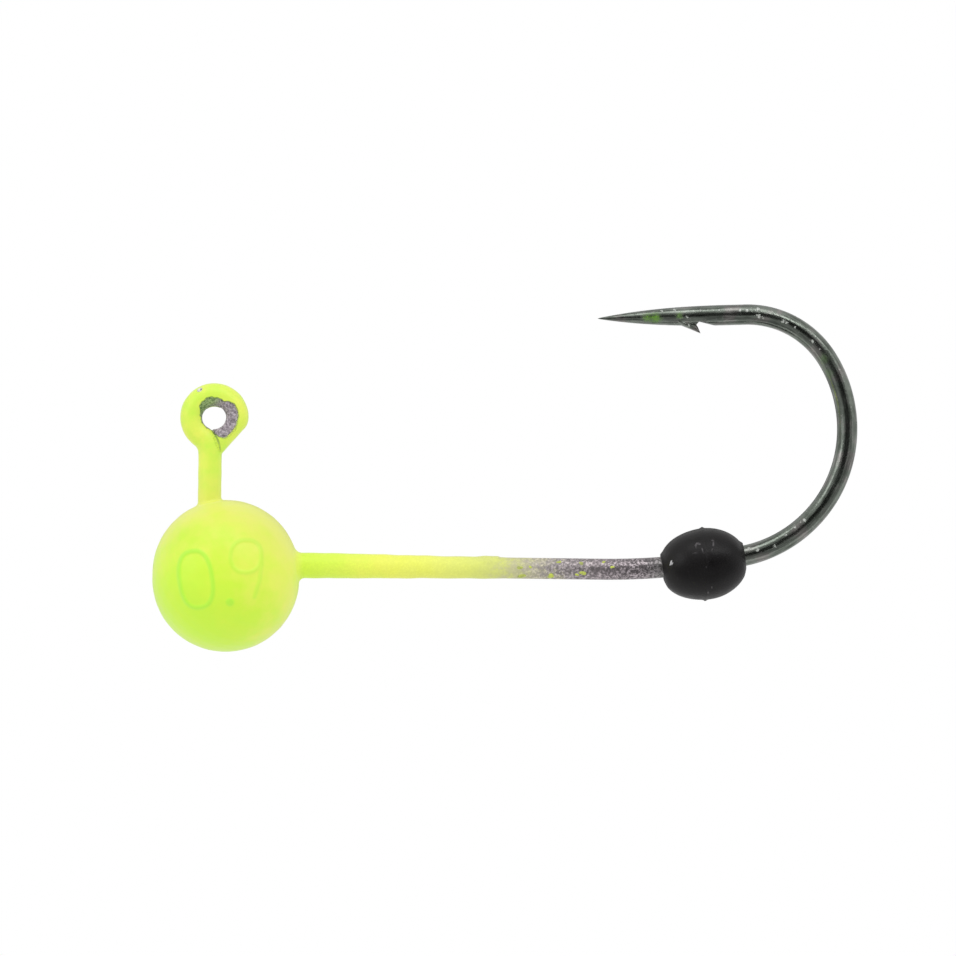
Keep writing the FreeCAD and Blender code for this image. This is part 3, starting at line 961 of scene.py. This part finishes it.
def plated_material():
    net = Nodes("plated_wire")
    where, (x, y, z) = net.place()
    shank, shank_rough, fine, shank_metallic = shank_finish(net, where, x)
    # Long thin lines run along the drawn wire.
    along = net.math("MULTIPLY", net.attribute("along_wire"), 0.09)
    drawn = net.noise(net.combined(along, net.attribute("above_wire"), y), 9.0, 3.0, 0.7)
    # The shank and the eye are grey and matte, and the bend is dark and bright.
    low = net.between(z, -4.4, -4.9)
    wander = net.math("MULTIPLY_ADD", fine, 1.6, x)
    matte = net.math("MULTIPLY", low, net.between(wander, 16.8, 18.8, 1.0, 0.0))
    streak = net.noise(where, 1.6, 3.0)
    plate = net.ramp(streak, *plate_tones)
    plate = net.times(plate, net.between(drawn, 0.36, 0.64, 0.72, 1.42))
    # Sparse bright grains in the plating.
    glint = net.noise(where, 14.0, 2.0, 0.7)
    plate = net.blend(net.between(glint, 0.64, 0.74, 0.0, 0.5), plate, (226, 226, 222))
    colour = net.blend(matte, plate, shank)
    painted = 0.0
    for spot_x, spot_z, size, strength in smudges:
        gap = net.distance(where, (spot_x, -wire_radius, spot_z))
        gap = net.math("MULTIPLY_ADD", fine, 0.35, gap)
        smudge = net.between(gap, size * 0.7, size * 1.6, strength, 0.0)
        colour = net.blend(smudge, colour, (100, 150, 40))
        painted = net.math("MAXIMUM", smudge, painted)
    flat_place = net.combined(x, 0.0, z)
    sparkle_gap = far_off
    # Painted sparkles: pale, matte spots where the plating catches the light.
    for sparkle_x, sparkle_z, size in painted_sparkles:
        gap = net.distance(flat_place, (sparkle_x, 0, sparkle_z))
        sparkle_gap = net.math("MINIMUM", net.math("SUBTRACT", gap, size), sparkle_gap)
    sparkle_gap = net.math("MULTIPLY_ADD", net.math("SUBTRACT", fine, 0.5), 0.36, sparkle_gap)
    painted_sparkle = net.between(sparkle_gap, -0.025, 0.020, 0.75, 0.0)
    painted_sparkle = net.math("MULTIPLY", painted_sparkle, net.between(y, 0.05, -0.05))
    colour = net.blend(painted_sparkle, colour, (206, 210, 204))
    painted = net.math("MAXIMUM", painted, painted_sparkle)
    # Inside the eye's chip the bare wire is pale and grainy, with a little green on the upper left.
    eye = net.between(x, 2.0, 3.0, 1.0, 0.0)
    bare = net.ramp(fine, (0.38, (112, 102, 110)), (0.50, (156, 146, 153)), (0.62, (198, 188, 196)))
    green = net.between(net.math("SUBTRACT", z, x), 0.15, 0.75, 0.0, 0.85)
    bare = net.blend(green, bare, net.ramp(fine, (0.38, (80, 120, 46)), (0.60, (168, 200, 120))))
    colour = net.blend(eye, colour, bare)
    matte = net.math("MAXIMUM", matte, eye)
    matte_metallic = net.math("MULTIPLY", shank_metallic, net.between(eye, 0, 1, 1.0, 0.3))
    metallic = net.mix_value(matte, 1.0, matte_metallic)
    metallic = net.math("MULTIPLY", metallic, net.math("SUBTRACT", 1.0, painted))
    plate_rough = net.math("MULTIPLY_ADD", drawn, 0.16, 0.12)
    rough = net.mix_value(matte, plate_rough, shank_rough)
    # Bare grey wire is grainy all over. The plating is smooth with small grains standing out of it.
    grains = net.between(net.noise(where, 9.0, 2.0), 0.54, 0.68)
    normal = net.bump(fine, net.mix_value(matte, 0.0004 * MM, 0.010 * MM))
    normal = net.bump(drawn, net.mix_value(matte, 0.0035 * MM, 0.0), 1.0, normal)
    normal = net.bump(grains, net.mix_value(matte, 0.0020 * MM, 0.0), 0.8, normal)
    normal = net.bump(painted_sparkle, 0.010 * MM, 0.8, normal)
    return net.surface(Base_Color=colour, Metallic=metallic, Roughness=rough, Normal=normal)


def fleck_material():
    net = Nodes("lacquer_fleck")
    where, _ = net.place()
    cloud = net.noise(where, 6.0, 3.0, 0.7)
    colour = net.ramp(cloud, (0.36, (160, 166, 104)), (0.50, (190, 202, 86)), (0.62, (208, 222, 84)))
    normal = net.bump(cloud, 0.02 * MM, 0.6)
    return net.surface(Base_Color=colour, Roughness=0.45, Normal=normal, IOR=1.5)


def rubber_material():
    net = Nodes("bead_rubber")
    where, (x, _, _) = net.place()
    cloud = net.noise(where, 1.1, 3.0)
    speck = net.noise(where, 14.0, 2.0)
    scuffs = net.noise(where, 2.6, 4.0, 0.7)
    colour = net.ramp(cloud, (0.3, (10, 8, 9)), (0.7, (18, 16, 17)))
    worn = net.between(scuffs, 0.60, 0.72, 0.0, 0.25)
    colour = net.blend(worn, colour, (56, 54, 57))
    gap = net.math("MULTIPLY_ADD", scuffs, 0.09, net.attribute("scuff_gap"))
    scuff_and_highlight = net.between(gap, 0.045, 0.090, 1.0, 0.0)
    # Partly wear, partly painted highlight: the marks are pale grey, with painted white shine near the
    # bead's left mouth.
    painted_shine = net.between(x, bead_shine_from, bead_shine_from - 0.1)
    colour = net.blend(net.math("MULTIPLY", scuff_and_highlight, 0.6), colour, (108, 104, 107))
    colour = net.blend(net.math("MULTIPLY", scuff_and_highlight, painted_shine), colour, (236, 236, 238))
    normal = net.bump(speck, 0.010 * MM, 0.5)
    normal = net.bump(scuffs, 0.03 * MM, 0.35, normal)
    normal = net.bump(scuff_and_highlight, 0.02 * MM, 0.8, normal)
    rough = net.between(cloud, 0.3, 0.7, 0.34, 0.46)
    return net.surface(
        Base_Color=colour, Roughness=rough, Normal=normal, Sheen_Weight=0.07, Sheen_Roughness=0.4, IOR=1.32,
    )


def lead_material():
    net = Nodes("cast_lead")
    where, _ = net.place()
    cloud = net.noise(where, 1.5, 3.0)
    colour = net.ramp(cloud, (0.3, (120, 122, 126)), (0.7, (158, 160, 165)))
    normal = net.bump(net.noise(where, 8.0, 3.0), 0.02 * MM, 0.6)
    return net.surface(Base_Color=colour, Metallic=0.8, Roughness=0.5, Normal=normal)


def put_material(piece, material):
    piece.data.materials.clear()
    piece.data.materials.append(material)


# ---- stage, light and camera ----
camera_distance = 150.0
view_middle = (9.94, -2.15)
view_width = 35.95
view_roll = 0.75
floor_level = coat_low[2] - 22.0
floor_half = 400.0
floor_shade = 0.86
world_level = 0.77

# Round cards that face the part: places from the middle of the view, radius, place along Y, and grey.
# They are the lens and its hood, the grey stand behind them, and a dark wall on the far side.
round_cards = [
    ("lens_card", 20, 6, 90, -190, 0.07),
    ("stand_card", 75, -105, 260, -200, 0.42),
    ("dark_far_card", 0, 0, 90, 190, 0.07),
]
# The grey table in front of the white sweep.
table_x, table_y = (-160, 260), (-17, -199)
table_rise = 0.5
table_shade = 0.40

# Area lights: place, width and height, and brightness.
soft_boxes = [
    ("top_box", (-10, -104, 200), (190, 80), 1.8),
    ("left_box", (-165, -104, 80), (80, 120), 1.5),
    ("right_box", (152, -105, 129), (58, 58), 1.9),
    ("side_box", (92, -150, 150), (46, 46), 5.0),
]


def rectangle(x_ends, y_ends, level):
    (left, right), (near, far) = x_ends, y_ends
    return [(left, near, level), (right, near, level), (right, far, level), (left, far, level)]


def disc(middle_x, middle_z, radius, place):
    turns = [2 * math.pi * k / 64 for k in range(64)]
    return [(middle_x + radius * math.cos(t), place, middle_z + radius * math.sin(t)) for t in turns]


def flat_piece(name, corners):
    return new_object(name, np.array(corners), [tuple(range(len(corners)))])


def floor():
    """A pale floor that takes shadows. The camera sees it pure white, also through clear parts."""
    ends = (-floor_half, floor_half)
    piece = flat_piece("floor", rectangle(ends, ends, floor_level))
    net = Nodes("floor")
    path = net.add("ShaderNodeLightPath").outputs
    seen = net.math("MAXIMUM", path["Is Camera Ray"], path["Is Transmission Ray"])
    grey, white = net.grey(floor_shade), net.add("ShaderNodeEmission")
    inputs = (0, seen), (1, grey.outputs[0]), (2, white.outputs[0])
    put_material(piece, net.finished(net.add("ShaderNodeMixShader", *inputs)))


def card(name, corners, shade):
    """A flat grey card out of view, which only a bright wire mirrors."""
    piece = flat_piece(name, corners)
    net = Nodes(name)
    put_material(piece, net.finished(net.grey(shade)))
    piece.visible_camera = piece.visible_diffuse = piece.visible_shadow = False


def world_light():
    """An even white world, which the camera sees at full strength."""
    net = Nodes("studio", world=True)
    seen = net.add("ShaderNodeLightPath").outputs["Is Camera Ray"]
    strength = net.between(seen, 0, 1, world_level, 1.0)
    inputs = ("Color", (1, 1, 1, 1)), ("Strength", strength)
    bpy.context.scene.world = net.finished(net.add("ShaderNodeBackground", *inputs))


def soft_box(name, place, size, brightness):
    """An area light at a place in millimetres, turned to the middle of the part."""
    data = bpy.data.lights.new(name, "AREA")
    data.shape = "RECTANGLE"
    data.size = size[0] * MM
    data.size_y = size[1] * MM
    data.energy = brightness * math.pi * data.size * data.size_y
    lamp = bpy.data.objects.new(name, data)
    lamp.location = Vector(place) * MM
    aim = Vector((view_middle[0], 0, view_middle[1])) * MM - lamp.location
    lamp.rotation_euler = aim.to_track_quat("-Z", "Y").to_euler()
    bpy.context.scene.collection.objects.link(lamp)


def camera():
    data = bpy.data.cameras.new("camera")
    data.lens = data.sensor_width * camera_distance / view_width
    data.clip_start = 0.001
    data.clip_end = 10.0
    eye = bpy.data.objects.new("camera", data)
    roll = math.radians(view_roll)
    right, up = (math.cos(roll), 0, math.sin(roll)), (-math.sin(roll), 0, math.cos(roll))
    turn = Matrix((right, up, (0, -1, 0))).transposed().to_4x4()
    place = Matrix.Translation(Vector((view_middle[0], -camera_distance, view_middle[1])) * MM)
    eye.matrix_world = place @ turn
    bpy.context.scene.collection.objects.link(eye)
    bpy.context.scene.camera = eye


def main():
    put_material(lacquer_coat(), lacquer_material())
    put_material(hook(), plated_material())
    put_material(stopper_bead(), rubber_material())
    put_material(lacquer_flecks(), fleck_material())
    put_material(frame["nodes"]["head_casting"], lead_material())
    floor()
    for name, across, up, radius, place, shade in round_cards:
        card(name, disc(view_middle[0] + across, view_middle[1] + up, radius, place), shade)
    card("table_card", rectangle(table_x, table_y, floor_level + table_rise), table_shade)
    world_light()
    for box in soft_boxes:
        soft_box(*box)
    camera()
    bpy.context.scene.view_settings.view_transform = "Standard"


main()
